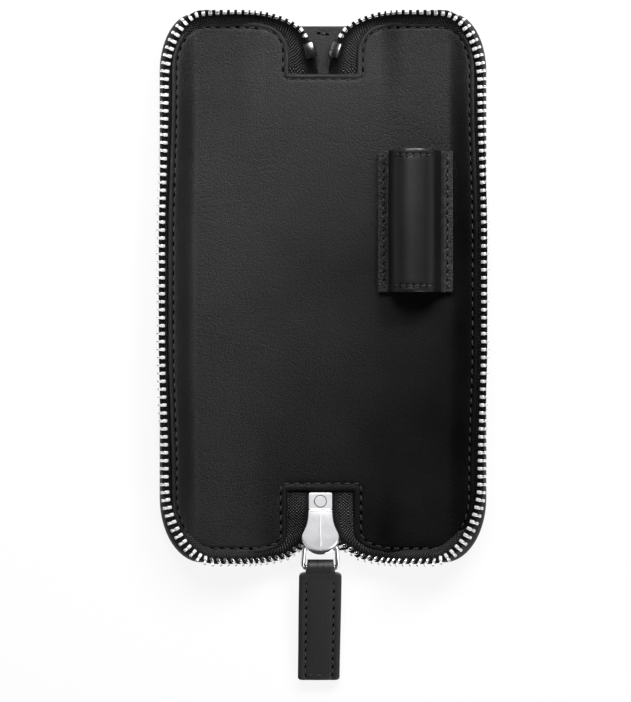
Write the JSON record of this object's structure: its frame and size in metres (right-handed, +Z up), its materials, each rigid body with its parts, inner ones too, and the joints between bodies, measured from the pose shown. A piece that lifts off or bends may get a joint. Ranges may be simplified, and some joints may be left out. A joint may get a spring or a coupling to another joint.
{
  "type": "fountain pen case",
  "caption": "Zip-round leather case for pens, lying open: two dished leaves fold up on a flat spine, metal zip chain round the rim, slider with bail and leather pull, one pen loop inside",
  "frame": {"origin": "middle of the spine's underside, on the surface that the open case lies on", "axes": "X across the two leaves, Y along the spine away from the slider's pull, Z up out of the open case"},
  "size_m": [0.1034, 0.2081, 0.0144],
  "materials": {
    "outer_leather": "grained, matt",
    "lining_leather": "fine grained, matt",
    "loop_leather": "smooth, semi-matt",
    "pull_leather": "fine grained, semi-matt",
    "stiffener": "raw fibre board",
    "thread": "twisted polyester",
    "zip_tape": "herringbone weave",
    "zip_teeth": "polished",
    "end_cap_metal": "dark polished",
    "slider_metal": "satin with polished edges",
    "bail_wire": "polished"
  },
  "bodies": {
    "spine": {"spine_cover": "outer_leather", "spine_board": "stiffener", "spine_lining": "lining_leather", "spine_tongue": "lining_leather", "spine_stitches": "thread", "left_tape_tail": "zip_tape", "right_tape_tail": "zip_tape", "bottom_tape": "zip_tape", "spine_teeth": "zip_teeth", "left_end_cap": "end_cap_metal", "right_end_cap": "end_cap_metal", "bottom_stop": "zip_teeth", "slider_body": "slider_metal", "slider_cap": "slider_metal", "slider_plate": "slider_metal"},
    "left_leaf": {"left_cover": "outer_leather", "left_board": "stiffener", "left_lining": "lining_leather", "left_tape": "zip_tape", "left_teeth": "zip_teeth", "left_stitches": "thread"},
    "right_leaf": {"right_cover": "outer_leather", "right_board": "stiffener", "right_lining": "lining_leather", "right_tape": "zip_tape", "right_teeth": "zip_teeth", "right_stitches": "thread", "loop_base": "lining_leather", "pen_loop": "loop_leather", "loop_stitches": "thread"},
    "bail": {"bail": "bail_wire"},
    "pull": {"pull_strap": "pull_leather", "pull_core": "stiffener", "pull_stitches": "thread"}
  },
  "joints": [
    {"name": "left_fold", "type": "hinge", "parent": "spine", "child": "left_leaf", "pos_m": [-0.0106, 0, 0.003], "axis": [0, 1, 0], "range_deg": [0, 90]},
    {"name": "right_fold", "type": "hinge", "parent": "spine", "child": "right_leaf", "pos_m": [0.0106, 0, 0.003], "axis": [0, -1, 0], "range_deg": [0, 90]},
    {"name": "bail_swing", "type": "hinge", "parent": "spine", "child": "bail", "pos_m": [-0.0008, -0.0792, 0.00795], "axis": [-1, 0, 0], "range_deg": [-8, 30]},
    {"name": "pull_swing", "type": "hinge", "parent": "bail", "child": "pull", "pos_m": [-0.0008, -0.08638, 0.00485], "axis": [-1, 0, 0], "range_deg": [-60, 30]}
  ]
}
